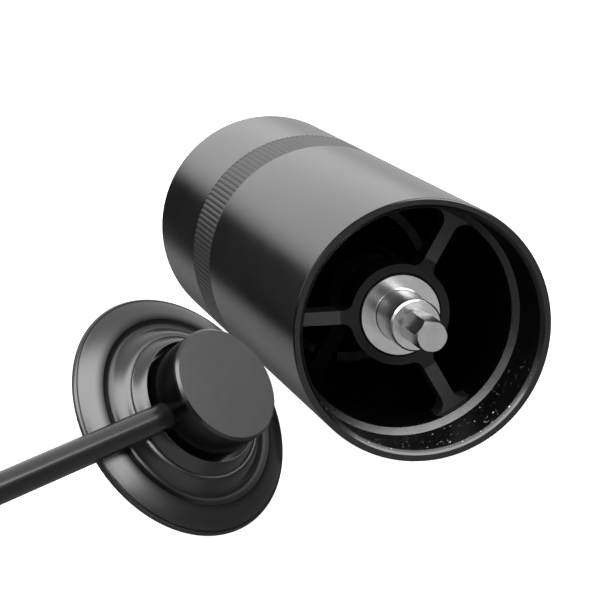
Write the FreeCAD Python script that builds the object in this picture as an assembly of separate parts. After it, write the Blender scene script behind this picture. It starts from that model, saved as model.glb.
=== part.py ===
"""Hand crank coffee grinder: barrel lying on its side, lid and crank unit resting beside it.

Units are millimetres and +Z is up. The barrel is designed standing on its base (own frame,
z = 0 at the base) and then laid down along Y with the open mouth towards -Y. The crank unit
is designed about its hub axis (own frame, z = 0 at the underside of the lid rim, arm along
+X) and then leaned on the lid rim and the knob.
"""
import math
import os

import FreeCAD
import Part
from FreeCAD import Placement, Rotation, Vector

# ---------------------------------------------------------------- barrel, driving sizes
BARREL_R = 26.0            # outer radius of tube and cup
BARREL_LENGTH = 135.2      # base to mouth
BORE_R = 23.92             # bore of the outer tube
RIM_ROUND = 0.3            # outer edge of the mouth
RIM_CHAMFER = 0.8          # inner edge of the mouth
SEAM_Z = 56.7              # joint between tube and catch cup
SEAM_GAP = 0.1
SEAM_BREAK = 0.25          # edge break on both sides of the seam

# catch cup
CUP_FLOOR = 3.0
CUP_BORE_R = 23.0
CUP_BASE_ROUND = 1.2
CUP_SOCKET_Z = 46.4        # bottom of the socket that takes the spigot
CUP_SOCKET_R = 23.95
BAND_LOW_Z = 39.0          # lower end of the ribbed band
BAND_RIBS = 138
BAND_DEPTH = 0.1           # height of the rounded ribs over the valleys between them
PAD_R = 21.5
PAD_THICK = 1.4
PAD_RECESS = 1.2

# hopper liner and upper spider
LINER_R_OUT = 23.87
LINER_R_IN = 22.57
LINER_CONE_TOP = 121.9     # where the sloped top meets the tube wall
LINER_CONE_LOW = 120.7     # inner edge of the sloped top
LINER_LOW_Z = 89.0
SPIDER_TOP_Z = 118.6
SPIDER_RING_R = 10.25
SPIDER_ARM_WIDTH = 2.7
SPIDER_ARM_DEPTH = 5.0
SPIDER_ARM_ANGLES = (60.0, 180.0, 300.0)
SPIDER_HUB_LOW_Z = 109.4
SPIDER_FLARE = 2.6         # radius of the flares at both ends of an arm
SPIDER_FOOT_R = 22.55

# ball bearings (8 x 16 x 5)
BEARING_BORE_R = 4.0
BEARING_R = 8.0
BEARING_WIDTH = 5.0
BEARING_INNER_R = 5.15
BEARING_OUTER_R = 6.85
BALL_R = 1.15
BALL_COUNT = 9
BALL_PITCH_R = 6.0
SHIELD_THICK = 0.3
UPPER_BEARING_Z = 111.0
LOWER_BEARING_Z = 85.6
FIT = 0.02                 # press or slip fit inside one assembly
RUNNING_FIT = 0.06         # between turning parts

# burr housing, lower spider
HOUSING_R = 23.87
HOUSING_LOW_Z = 47.2
HOUSING_TOP_Z = 86.0
HOUSING_BORE_R = 20.6
BURR_SEAT_R = 19.02
BURR_SEAT_LOW_Z = 60.4
BURR_SEAT_TOP_Z = 79.2
FUNNEL_R = 22.4
LIP_R = 17.6
LOWER_SPIDER_TOP_Z = LINER_LOW_Z
LOWER_SPIDER_RING_IN = 21.4
LOWER_SPIDER_HUB_R = 9.8
LOWER_SPIDER_HUB_TOP_Z = 92.2
LOWER_SPIDER_HUB_LOW_Z = 84.6
LOWER_SPIDER_ARM_WIDTH = 3.2

# burrs
OUTER_BURR_R = 19.0
OUTER_BURR_LOW_Z = 61.0
OUTER_BURR_TOP_Z = 79.0
OUTER_BURR_LOW_IN = 14.95
OUTER_BURR_THROAT_IN = 12.2
OUTER_BURR_THROAT_Z = 71.0
OUTER_BURR_THROAT_LAND = 1.0
OUTER_BURR_TOP_IN = 15.8
INNER_BURR_LOW_Z = 61.3
INNER_BURR_LOW_R = 14.4
INNER_BURR_WAIST_Z = 71.3
INNER_BURR_WAIST_R = 11.5
INNER_BURR_TOP_Z = 78.4
INNER_BURR_TOP_R = 6.0
FINE_TEETH = 36
FLUTES = 6
RETAINER_LOW_Z = 58.6
RETAINER_R_IN = 16.6
RETAINER_SCREWS = 3
RETAINER_SCREW_R = 18.6    # pitch circle of the retainer screws

# drive shaft, collar, adjustment
SHAFT_R = 4.0
SHAFT_LOW_Z = 58.2
SHAFT_FLAT = 3.4           # half width across the two flats that key the inner burr
SHAFT_FLAT_TOP_Z = 80.2
STUD_R = 3.0
STUD_LOW_Z = 48.4
SHAFT_SHOULDER_Z = 127.4   # above it the shaft is turned down to pass the collar's neck
SHAFT_NOSE_R = 3.35
HEX_ACROSS_FLATS = 5.75
HEX_LOW_Z = 131.2
HEX_TIP_Z = 140.95
HEX_TIP_R = 2.93
HEX_CHAMFER = 0.9
HEX_CORNER_ANGLE = 52.5
COLLAR_DISC_R = 8.22
COLLAR_DISC_TOP_Z = 118.95
COLLAR_DISC_THICK = 1.1
COLLAR_NECK_R = 5.2
COLLAR_NECK_TOP_Z = 130.0
COLLAR_EDGE = 0.15         # edge break of the disc
COLLAR_NECK_CHAMFER = 0.35
COLLAR_NECK_FILLET = 0.25
COLLAR_NOSE_CLEARANCE = 0.03
COLLAR_BOSS_R = 5.1
COLLAR_SEAT_R = 8.5
DIAL_R = 11.5
DIAL_LOW_Z = 53.6
DIAL_TOP_Z = 59.7
DIAL_NOTCHES = 24
DIAL_TRAVEL_ROOM = 1.6     # counterbore below the shaft's end for the dial's travel
CLICK_PLATE_R = 9.0
CLICK_PLATE_LOW_Z = 59.9
CLICKS_PER_TURN = 12
CLICK_PITCH_R = 7.0
CLICK_BALL_R = 1.0
CLICK_BALL_DEPTH = 0.85    # ball centres below the dial's top face
CLICK_POCKET_DEPTH = 4.2
CLICK_SPRING_R = 0.7
CLICK_SPRING_WIRE_R = 0.28
CLICK_SPRING_TURNS = 2.5
CLIP_Z = 50.2
CLIP_THICK = 0.8

# burr spring
SPRING_R = 4.75
SPRING_WIRE_R = 0.4
SPRING_LOW_Z = 78.42
SPRING_HIGH_Z = 85.58
SPRING_TURNS = 3.0

# cup seal
SEAL_Z = 45.4
SEAL_SECTION_R = 0.5
SEAL_R = 23.3

# ---------------------------------------------------------------- crank unit, driving sizes
LID_R = 22.84
LID_RIM_EDGE = 0.12        # edge break under the rim
LID_HOLE_R = 6.06
# the flange rises inwards to a crease, then a shallow valley leads to the concave inner slope
LID_FLANGE = [(22.1, 1.08), (21.2, 1.58), (20.0, 2.1), (18.9, 2.48), (18.0, 2.66)]
LID_SLOPE = [(18.0, 2.66), (17.5, 2.56), (17.0, 2.47), (16.5, 2.49), (16.1, 2.72), (15.6, 3.25),
             (15.1, 3.87), (14.6, 4.42), (14.1, 4.77), (13.5, 4.84)]
LID_UNDERSIDE = [(21.7, 0.0), (20.8, 0.45), (19.6, 0.95), (18.4, 1.32), (17.4, 1.42),
                 (16.5, 1.5), (15.7, 2.0), (14.9, 2.8), (14.2, 3.2), (13.4, 3.3)]
LID_SEAT_Z = 4.1           # step that carries the bezel
LID_SEAT_R_IN = 12.5
LID_WEB_R = 12.0           # flat inner web round the spigot
HUB_R = 10.7
HUB_LOW_Z = 3.4
HUB_TOP_Z = 14.55
HUB_CHAMFER = 0.45
SPIGOT_R = 6.0
SPIGOT_LOW_Z = -5.2
SOCKET_R = 4.9
SOCKET_TOP_Z = 6.2
SOCKET_ACROSS_FLATS = 5.82
BEZEL_R_IN = 11.6
BEZEL_R_OUT = 13.42
BEZEL_LOW_Z = 4.12
BEZEL_SKIRT_R = 12.15
BEZEL_TOP_Z = 6.95
BEZEL_FACE = [(13.3, 4.95), (12.9, 5.55), (12.4, 6.3), (12.0, 6.75), (11.75, 6.95)]
ARM_R = 2.55
ARM_Z = 7.6
ARM_INNER_X = 5.6
CRANK_LENGTH = 131.0       # hub axis to knob axis
ARM_PIN_LENGTH = 7.2
EYE_R = 5.0
EYE_THICK = 3.2
EYE_TRANSITION = 9.0
EYE_OVERLAP = 2.0          # how far the flattened end runs into the eye
EYE_WIDTH_AT_ROOT = 7.0
ARM_PIN_R = 1.0
ARM_PIN_X = 8.2
WASHER_LOW_Z = 1.2
LID_WASHER_THICK = 1.0
CLAMP_NUT_LOW_Z = -1.8
CLAMP_NUT_R = 9.5
CLAMP_NUT_NOTCHES = 6

# knob
KNOB_R = 12.36
KNOB_LENGTH = 30.0
# side of the knob as (inset from KNOB_R, height above its foot)
KNOB_SIDE = [(0.0, 1.0), (0.5, 6.0), (2.1, 14.0), (1.2, 22.0), (0.9, 26.0), (1.9, 29.0)]
KNOB_SHOULDER = 0.9        # chamfer between the side and the flat top
KNOB_BASE_ROUND = 1.0
KNOB_PIN_R = 2.5
KNOB_PIN_HEAD_R = 4.2
KNOB_PIN_HEAD = 1.8
KNOB_WASHER = 0.8
KNOB_WASHER_R = 4.7
KNOB_BUSH_R = 4.0
KNOB_BUSH_LENGTH = 6.0
KNOB_CAVITY_R = 6.4
KNOB_CAVITY_DEPTH = 9.0
KNOB_PIN_SHORT = 2.2       # pin end below the cap
KNOB_CAP_R = 7.6
KNOB_CAP_THICK = 2.0

# ---------------------------------------------------------------- where the two units rest
HUB_AZIMUTH = -57.05       # heading of the crank unit's hub axis, from +X
HUB_ELEVATION = 32.91      # and its rise above the floor
ARM_DROOP = 7.6            # arm turned below level about the hub axis
LID_CENTRE_X = -54.05      # from the barrel's middle
LID_CENTRE_Y = -96.97
FRAME_X = 68.8             # barrel's middle from the frame origin, which is the middle
FRAME_Y = 71.3             # of the whole arrangement's footprint

Z_AXIS = Vector(0, 0, 1)
ORIGIN = Vector(0, 0, 0)


# ---------------------------------------------------------------- helpers
def ring(r_in, r_out, low, high):
    """Plain ring (or disc when r_in is 0) about the Z axis."""
    body = Part.makeCylinder(r_out, high - low, Vector(0, 0, low))
    if r_in > 0:
        body = body.cut(Part.makeCylinder(r_in, high - low, Vector(0, 0, low)))
    return body


def turned(points):
    """Solid of revolution about Z from a closed outline of (radius, height) points."""
    outline = [Vector(r, 0, z) for r, z in points]
    outline.append(outline[0])
    face = Part.Face(Part.makePolygon(outline))
    return face.revolve(ORIGIN, Z_AXIS, 360)


def turned_edges(edges):
    """Solid of revolution about Z from a closed chain of edges in the XZ plane."""
    face = Part.Face(Part.Wire(Part.__sortEdges__(edges)))
    return face.revolve(ORIGIN, Z_AXIS, 360)


def line(r0, z0, r1, z1):
    return Part.makeLine(Vector(r0, 0, z0), Vector(r1, 0, z1))


def curve(points):
    """Smooth edge through (radius, height) points in the XZ plane."""
    spline = Part.BSplineCurve()
    spline.interpolate([Vector(r, 0, z) for r, z in points])
    return spline.toShape()


def arc(p0, p1, p2):
    """Arc through three (radius, height) points in the XZ plane."""
    a, b, c = [Vector(r, 0, z) for r, z in (p0, p1, p2)]
    return Part.Arc(a, b, c).toShape()


def around(shape, count, start=0.0):
    """Copies of a shape at equal steps about the Z axis."""
    copies = []
    for index in range(count):
        copy = shape.copy()
        copy.rotate(ORIGIN, Z_AXIS, start + 360.0 * index / count)
        copies.append(copy)
    return copies


def hexagon_prism(across_flats, low, high, corner_angle):
    radius = across_flats / 2 / math.cos(math.radians(30))
    corners = []
    for index in range(7):
        angle = math.radians(corner_angle + 60 * index)
        corners.append(Vector(radius * math.cos(angle), radius * math.sin(angle), low))
    return Part.Face(Part.makePolygon(corners)).extrude(Vector(0, 0, high - low))


def toothed_prism(radius, depth, teeth, land, low, high):
    """Prism whose outline has straight-sided ribs parallel to the axis."""
    pitch = 2 * math.pi / teeth
    valley = (1 - land) * pitch / 3
    corners = []
    for index in range(teeth):
        angle = index * pitch
        for offset, r in ((0, radius), (land * pitch, radius),
                          (land * pitch + valley, radius - depth),
                          (land * pitch + 2 * valley, radius - depth)):
            corners.append(Vector(r * math.cos(angle + offset), r * math.sin(angle + offset), low))
    corners.append(corners[0])
    return Part.Face(Part.makePolygon(corners)).extrude(Vector(0, 0, high - low))


def ribbed_prism(radius, depth, ribs, low, high):
    """Prism whose outline is a ring of shallow convex ribs parallel to the axis."""
    pitch = 2 * math.pi / ribs
    valley = radius - depth
    edges = []
    for index in range(ribs):
        first, last = [Vector(valley * math.cos(a), valley * math.sin(a), low)
                       for a in (index * pitch, (index + 1) * pitch)]
        middle = (index + 0.5) * pitch
        crest = Vector(radius * math.cos(middle), radius * math.sin(middle), low)
        edges.append(Part.Arc(first, crest, last).toShape())
    return Part.Face(Part.Wire(edges)).extrude(Vector(0, 0, high - low))


def lay_barrel():
    """Standing barrel frame to its place: on its side, mouth towards -Y."""
    base = Vector(FRAME_X, FRAME_Y + BARREL_LENGTH / 2, BARREL_R)
    return Placement(base, Rotation(Vector(1, 0, 0), 90))


def lean_crank():
    """Crank unit frame to its place: leaning on the lid rim and the knob."""
    azimuth = math.radians(HUB_AZIMUTH)
    elevation = math.radians(HUB_ELEVATION)
    droop = math.radians(ARM_DROOP)
    axis = Vector(math.cos(elevation) * math.cos(azimuth),
                  math.cos(elevation) * math.sin(azimuth), math.sin(elevation))
    level = Vector(math.sin(azimuth), -math.cos(azimuth), 0)
    down = axis.cross(level)
    arm = level * math.cos(droop) + down * math.sin(droop)
    centre = Vector(FRAME_X + LID_CENTRE_X, FRAME_Y + LID_CENTRE_Y,
                    LID_R * math.cos(elevation) - LID_RIM_EDGE * math.sin(elevation))
    return Placement(centre, Rotation(arm, axis.cross(arm), axis, "ZXY"))


def save(shape, name, placement):
    placed = shape.copy()
    placed.Placement = placement.multiply(placed.Placement)
    placed.exportStep(os.path.join("parts", name + ".step"))


# ---------------------------------------------------------------- barrel pieces
def outer_tube():
    top = BARREL_LENGTH
    low = SEAM_Z + SEAM_GAP
    return turned([
        (BORE_R, low), (BARREL_R - SEAM_BREAK, low), (BARREL_R, low + SEAM_BREAK),
        (BARREL_R, top - RIM_ROUND), (BARREL_R - 0.3 * RIM_ROUND, top - 0.3 * RIM_ROUND),
        (BARREL_R - RIM_ROUND, top), (BORE_R + RIM_CHAMFER, top), (BORE_R, top - RIM_CHAMFER)])


def hopper_liner():
    return turned([
        (LINER_R_IN, LINER_LOW_Z), (LINER_R_OUT, LINER_LOW_Z),
        (LINER_R_OUT, LINER_CONE_TOP), (LINER_R_IN, LINER_CONE_LOW)])


def spider_arm(r_in, r_out, width, flare):
    """Outline of one arm along +X with concave flares where it meets hub and rim."""
    half = width / 2
    start = math.sqrt(r_in ** 2 - (half + flare) ** 2)
    stop = math.sqrt(r_out ** 2 - (half + flare) ** 2)
    diagonal = flare * (1 - math.cos(math.radians(45)))
    edges = []
    for side in (1, -1):
        inner = Vector(start, side * (half + flare), 0)
        inner_end = Vector(start + flare, side * half, 0)
        inner_mid = Vector(start + diagonal, side * (half + diagonal), 0)
        outer = Vector(stop, side * (half + flare), 0)
        outer_end = Vector(stop - flare, side * half, 0)
        outer_mid = Vector(stop - diagonal, side * (half + diagonal), 0)
        edges.append(Part.Arc(inner, inner_mid, inner_end).toShape())
        edges.append(Part.makeLine(inner_end, outer_end))
        edges.append(Part.Arc(outer_end, outer_mid, outer).toShape())
    reach = Vector(r_out, 0, 0)
    edges.append(Part.Arc(Vector(stop, half + flare, 0), reach,
                          Vector(stop, -half - flare, 0)).toShape())
    edges.append(Part.makeLine(Vector(start, -half - flare, 0), Vector(start, half + flare, 0)))
    return Part.Face(Part.Wire(Part.__sortEdges__(edges)))


def upper_spider():
    arm_face = spider_arm(SPIDER_RING_R, SPIDER_FOOT_R, SPIDER_ARM_WIDTH, SPIDER_FLARE)
    arm_face.translate(Vector(0, 0, SPIDER_TOP_Z - SPIDER_ARM_DEPTH))
    arm = arm_face.extrude(Vector(0, 0, SPIDER_ARM_DEPTH))
    hub = ring(0, SPIDER_RING_R, SPIDER_HUB_LOW_Z, SPIDER_TOP_Z)
    body = hub.multiFuse(around(arm, len(SPIDER_ARM_ANGLES), SPIDER_ARM_ANGLES[0]))
    lip_r = BEARING_R - 1.2
    bore = turned([
        (0, SPIDER_HUB_LOW_Z), (lip_r, SPIDER_HUB_LOW_Z), (lip_r, UPPER_BEARING_Z),
        (BEARING_R + FIT, UPPER_BEARING_Z), (BEARING_R + FIT, SPIDER_TOP_Z - 2.2),
        (COLLAR_SEAT_R, SPIDER_TOP_Z - 2.2), (COLLAR_SEAT_R, SPIDER_TOP_Z), (0, SPIDER_TOP_Z)])
    return body.cut(bore).removeSplitter()


def bearing_outer(low):
    body = ring(BEARING_OUTER_R, BEARING_R, low, low + BEARING_WIDTH)
    track = Part.makeTorus(BALL_PITCH_R, BALL_R + FIT, Vector(0, 0, low + BEARING_WIDTH / 2))
    return body.cut(track)


def bearing_inner(low):
    body = ring(BEARING_BORE_R + FIT, BEARING_INNER_R, low, low + BEARING_WIDTH)
    track = Part.makeTorus(BALL_PITCH_R, BALL_R + FIT, Vector(0, 0, low + BEARING_WIDTH / 2))
    return body.cut(track)


def bearing_balls(low):
    centre = Vector(BALL_PITCH_R, 0, low + BEARING_WIDTH / 2)
    return Part.makeCompound(around(Part.makeSphere(BALL_R, centre), BALL_COUNT))


def bearing_shields(low):
    inner = BEARING_INNER_R + RUNNING_FIT
    outer = BEARING_OUTER_R - FIT
    lower = ring(inner, outer, low, low + SHIELD_THICK)
    upper = ring(inner, outer, low + BEARING_WIDTH - SHIELD_THICK, low + BEARING_WIDTH)
    return Part.makeCompound([lower, upper])


def burr_housing():
    body = turned([
        (HOUSING_BORE_R, HOUSING_LOW_Z), (HOUSING_R - 0.4, HOUSING_LOW_Z),
        (HOUSING_R, HOUSING_LOW_Z + 0.4), (HOUSING_R, HOUSING_TOP_Z),
        (FUNNEL_R, HOUSING_TOP_Z), (LIP_R, BURR_SEAT_TOP_Z + 1.6),
        (LIP_R, BURR_SEAT_TOP_Z), (BURR_SEAT_R, BURR_SEAT_TOP_Z),
        (BURR_SEAT_R, BURR_SEAT_LOW_Z), (HOUSING_BORE_R, BURR_SEAT_LOW_Z)])
    return body


def lower_spider():
    arm_face = spider_arm(LOWER_SPIDER_HUB_R, LOWER_SPIDER_RING_IN + 0.4,
                          LOWER_SPIDER_ARM_WIDTH, SPIDER_FLARE)
    arm_face.translate(Vector(0, 0, HOUSING_TOP_Z))
    arm = arm_face.extrude(Vector(0, 0, LOWER_SPIDER_TOP_Z - HOUSING_TOP_Z))
    rim = ring(LOWER_SPIDER_RING_IN, LINER_R_OUT, HOUSING_TOP_Z, LOWER_SPIDER_TOP_Z)
    hub = ring(0, LOWER_SPIDER_HUB_R, LOWER_SPIDER_HUB_LOW_Z, LOWER_SPIDER_HUB_TOP_Z)
    body = hub.multiFuse([rim] + around(arm, 3, 0.0))
    lip_r = BEARING_R - 1.2
    bore = turned([
        (0, LOWER_SPIDER_HUB_LOW_Z), (lip_r, LOWER_SPIDER_HUB_LOW_Z), (lip_r, LOWER_BEARING_Z),
        (BEARING_R + FIT, LOWER_BEARING_Z), (BEARING_R + FIT, LOWER_SPIDER_HUB_TOP_Z),
        (0, LOWER_SPIDER_HUB_TOP_Z)])
    return body.cut(bore).removeSplitter()


def bearing_circlip(low):
    """Snap ring above a bearing, gap towards +X."""
    body = ring(BEARING_R - 1.1, BEARING_R, low, low + 0.8)
    return body.cut(Part.makeBox(BEARING_R, 3.0, 1.2, Vector(0, -1.5, low - 0.2)))


def outer_burr():
    body = turned([
        (OUTER_BURR_LOW_IN, OUTER_BURR_LOW_Z), (OUTER_BURR_R, OUTER_BURR_LOW_Z),
        (OUTER_BURR_R, OUTER_BURR_TOP_Z), (OUTER_BURR_TOP_IN, OUTER_BURR_TOP_Z),
        (OUTER_BURR_THROAT_IN, OUTER_BURR_THROAT_Z + OUTER_BURR_THROAT_LAND),
        (OUTER_BURR_THROAT_IN, OUTER_BURR_THROAT_Z)])
    slant = math.degrees(math.atan2(OUTER_BURR_LOW_IN - OUTER_BURR_THROAT_IN,
                                    OUTER_BURR_THROAT_Z - OUTER_BURR_LOW_Z))
    tooth = groove_cutter(OUTER_BURR_LOW_IN, 0.55, 0.9, 9.0, OUTER_BURR_LOW_Z - 0.5, slant, 8.0)
    flute = Part.makeCylinder(2.2, 16.0, ORIGIN, Z_AXIS)
    flute.rotate(ORIGIN, Vector(0, 1, 0), 28)
    flute.rotate(ORIGIN, Vector(1, 0, 0), -24)
    flute.translate(Vector(OUTER_BURR_THROAT_IN - 0.6, 0, OUTER_BURR_THROAT_Z - 1.0))
    return body.cut(around(tooth, FINE_TEETH) + around(flute, FLUTES))


def groove_cutter(radius, depth, width, length, low, slant, helix):
    """V-shaped cutter lying on a cone, pointing outwards from its inner surface."""
    corners = [Vector(radius - depth, -width, low), Vector(radius + depth, 0, low),
               Vector(radius - depth, width, low)]
    corners.append(corners[0])
    cutter = Part.Face(Part.makePolygon(corners)).extrude(Vector(0, 0, length))
    base = Vector(radius, 0, low)
    cutter.rotate(base, Vector(0, 1, 0), -slant)
    cutter.rotate(base, Vector(1, 0, 0), helix)
    return cutter


def inner_burr():
    body = turned([
        (0, INNER_BURR_LOW_Z), (INNER_BURR_LOW_R, INNER_BURR_LOW_Z),
        (INNER_BURR_WAIST_R, INNER_BURR_WAIST_Z), (INNER_BURR_TOP_R, INNER_BURR_TOP_Z),
        (0, INNER_BURR_TOP_Z)])
    slant = math.degrees(math.atan2(INNER_BURR_LOW_R - INNER_BURR_WAIST_R,
                                    INNER_BURR_WAIST_Z - INNER_BURR_LOW_Z))
    corners = [Vector(INNER_BURR_LOW_R + 0.5, -0.9, 0), Vector(INNER_BURR_LOW_R - 0.5, 0, 0),
               Vector(INNER_BURR_LOW_R + 0.5, 0.9, 0)]
    corners.append(corners[0])
    tooth = Part.Face(Part.makePolygon(corners)).extrude(Vector(0, 0, 7.5))
    tooth.rotate(Vector(INNER_BURR_LOW_R, 0, 0), Vector(0, 1, 0), -slant)
    tooth.rotate(Vector(INNER_BURR_LOW_R, 0, 0), Vector(1, 0, 0), 12)
    tooth.translate(Vector(0, 0, INNER_BURR_LOW_Z - 0.5))
    flute = Part.makeCylinder(2.6, 18.0, ORIGIN, Z_AXIS)
    flute.rotate(ORIGIN, Vector(0, 1, 0), -24)
    flute.rotate(ORIGIN, Vector(1, 0, 0), 30)
    flute.translate(Vector(INNER_BURR_WAIST_R + 3.0, -1.5, INNER_BURR_WAIST_Z - 4.5))
    body = body.cut(around(tooth, FINE_TEETH) + around(flute, FLUTES))
    return body.cut(keyed_bore(INNER_BURR_LOW_Z, INNER_BURR_TOP_Z, RUNNING_FIT))


def keyed_bore(low, high, clearance):
    """Round bore with two flats, to suit the keyed length of the shaft."""
    bore = Part.makeCylinder(SHAFT_R + clearance, high - low, Vector(0, 0, low))
    half = SHAFT_FLAT + clearance
    slot = Part.makeBox(2 * half, 4 * SHAFT_R, high - low, Vector(-half, -2 * SHAFT_R, low))
    return bore.common(slot)


def burr_retainer():
    body = ring(RETAINER_R_IN, HOUSING_BORE_R - 0.05, RETAINER_LOW_Z, BURR_SEAT_LOW_Z)
    holes = around(ring(0, 0.82, RETAINER_LOW_Z, BURR_SEAT_LOW_Z)
                   .translated(Vector(RETAINER_SCREW_R, 0, 0)), RETAINER_SCREWS, 30.0)
    return body.cut(holes)


def retainer_screws():
    """Pan-head screws whose heads bear on the retainer."""
    head_low = RETAINER_LOW_Z - 1.2
    screw = ring(0, 1.4, head_low, RETAINER_LOW_Z)
    screw = screw.cut(hexagon_prism(1.3, head_low, head_low + 0.7, 0))
    screw = screw.fuse(ring(0, 0.8, RETAINER_LOW_Z, BURR_SEAT_LOW_Z))
    screw.translate(Vector(RETAINER_SCREW_R, 0, 0))
    return Part.makeCompound(around(screw, RETAINER_SCREWS, 30.0))


# ---------------------------------------------------------------- turning pieces on the axis
def drive_shaft():
    round_part = ring(0, SHAFT_R, SHAFT_LOW_Z, SHAFT_SHOULDER_Z)
    half = SHAFT_FLAT
    for side in (-1, 1):
        x = half if side > 0 else -half - 2 * SHAFT_R
        flat = Part.makeBox(2 * SHAFT_R, 4 * SHAFT_R, SHAFT_FLAT_TOP_Z - SHAFT_LOW_Z,
                            Vector(x, -2 * SHAFT_R, SHAFT_LOW_Z))
        round_part = round_part.cut(flat)
    stud = turned([
        (0, STUD_LOW_Z), (STUD_R - 0.5, STUD_LOW_Z), (STUD_R, STUD_LOW_Z + 0.5),
        (STUD_R, CLIP_Z), (STUD_R - 0.6, CLIP_Z), (STUD_R - 0.6, CLIP_Z + CLIP_THICK + 0.1),
        (STUD_R, CLIP_Z + CLIP_THICK + 0.1), (STUD_R, SHAFT_LOW_Z), (0, SHAFT_LOW_Z)])
    hexagon = hexagon_prism(HEX_ACROSS_FLATS, HEX_LOW_Z, HEX_TIP_Z, HEX_CORNER_ANGLE)
    corner_r = HEX_ACROSS_FLATS / 2 / math.cos(math.radians(30))
    cone = turned([
        (0, HEX_LOW_Z), (corner_r + 0.1, HEX_LOW_Z), (corner_r + 0.1, HEX_TIP_Z - HEX_CHAMFER),
        (HEX_TIP_R, HEX_TIP_Z), (0, HEX_TIP_Z)])
    nose = ring(0, SHAFT_NOSE_R, SHAFT_SHOULDER_Z, HEX_LOW_Z)
    return round_part.fuse([stud, nose, hexagon.common(cone)]).removeSplitter()


def shaft_collar():
    """Turned steel collar: boss on the bearing, flat disc and a straight chamfered neck."""
    disc_top = COLLAR_DISC_TOP_Z
    disc_low = disc_top - COLLAR_DISC_THICK
    boss_low = UPPER_BEARING_Z + BEARING_WIDTH
    bore = SHAFT_R + FIT
    nose_bore = SHAFT_NOSE_R + COLLAR_NOSE_CLEARANCE
    shoulder = SHAFT_SHOULDER_Z + 0.1
    neck_r = COLLAR_NECK_R
    neck_top = COLLAR_NECK_TOP_Z
    fillet = COLLAR_NECK_FILLET
    return turned([
        (bore, boss_low), (COLLAR_BOSS_R, boss_low), (COLLAR_BOSS_R, disc_low),
        (COLLAR_DISC_R, disc_low), (COLLAR_DISC_R, disc_top - COLLAR_EDGE),
        (COLLAR_DISC_R - COLLAR_EDGE, disc_top), (neck_r + fillet, disc_top),
        (neck_r + 0.3 * fillet, disc_top + 0.3 * fillet), (neck_r, disc_top + fillet),
        (neck_r, neck_top - COLLAR_NECK_CHAMFER), (neck_r - COLLAR_NECK_CHAMFER, neck_top),
        (nose_bore, neck_top), (nose_bore, shoulder), (bore, shoulder)])


def coil_spring(radius, wire, turns, low, high):
    """Open coil of round wire about the Z axis, filling the height from low to high."""
    height = high - low - 2 * wire
    helix = Part.makeHelix(height / turns, height, radius)
    section = Part.Wire(Part.makeCircle(wire, Vector(radius, 0, 0), Vector(0, 1, 0)))
    coil = Part.Wire(helix).makePipeShell([section], True, True)
    return coil.translated(Vector(0, 0, low + wire))


def burr_spring():
    """Coil between the inner burr and the lower bearing."""
    return coil_spring(SPRING_R, SPRING_WIRE_R, SPRING_TURNS, SPRING_LOW_Z, SPRING_HIGH_Z)


def click_plate():
    """Plate turned by the keyed shaft, with one dimple per click on its underside."""
    body = ring(0, CLICK_PLATE_R, CLICK_PLATE_LOW_Z, INNER_BURR_LOW_Z)
    dimple = Part.makeSphere(CLICK_BALL_R + 0.1, Vector(CLICK_PITCH_R, 0, CLICK_PLATE_LOW_Z - 0.6))
    body = body.cut(around(dimple, CLICKS_PER_TURN))
    return body.cut(keyed_bore(CLICK_PLATE_LOW_Z, INNER_BURR_LOW_Z, RUNNING_FIT))


def adjust_dial():
    body = toothed_prism(DIAL_R, 0.7, DIAL_NOTCHES, 0.5, DIAL_LOW_Z, DIAL_TOP_Z)
    guard = turned([
        (0, DIAL_LOW_Z), (DIAL_R - 0.8, DIAL_LOW_Z), (DIAL_R + 0.1, DIAL_LOW_Z + 0.9),
        (DIAL_R + 0.1, DIAL_TOP_Z - 0.9), (DIAL_R - 0.8, DIAL_TOP_Z), (0, DIAL_TOP_Z)])
    body = body.common(guard)
    body = body.cut(ring(0, STUD_R + RUNNING_FIT, DIAL_LOW_Z, DIAL_TOP_Z))
    counterbore_low = SHAFT_LOW_Z - DIAL_TRAVEL_ROOM
    body = body.cut(ring(0, SHAFT_R + 0.4, counterbore_low, DIAL_TOP_Z))
    pocket = Part.makeCylinder(CLICK_BALL_R + 0.05, CLICK_POCKET_DEPTH,
                               Vector(CLICK_PITCH_R, 0, DIAL_TOP_Z - CLICK_POCKET_DEPTH))
    return body.cut(around(pocket, 2))


def click_balls():
    ball = Part.makeSphere(CLICK_BALL_R, Vector(CLICK_PITCH_R, 0, DIAL_TOP_Z - CLICK_BALL_DEPTH))
    return Part.makeCompound(around(ball, 2))


def click_springs():
    """Short coils under the click balls."""
    wire = CLICK_SPRING_WIRE_R
    low = DIAL_TOP_Z - CLICK_POCKET_DEPTH + 0.05
    high = DIAL_TOP_Z - CLICK_BALL_DEPTH - CLICK_BALL_R
    return Part.makeCompound(around(
        coil_spring(CLICK_SPRING_R, wire, CLICK_SPRING_TURNS, low, high)
        .translated(Vector(CLICK_PITCH_R, 0, 0)), 2))


def stud_clip():
    """E-clip in the groove of the stud below the dial."""
    body = ring(STUD_R - 0.55, STUD_R + 1.6, CLIP_Z + 0.05, CLIP_Z + 0.05 + CLIP_THICK)
    mouth = Part.makeBox(2 * STUD_R, 2 * STUD_R - 1.4, 2, Vector(0, -STUD_R + 0.7, CLIP_Z - 0.5))
    return body.cut(mouth)


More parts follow.
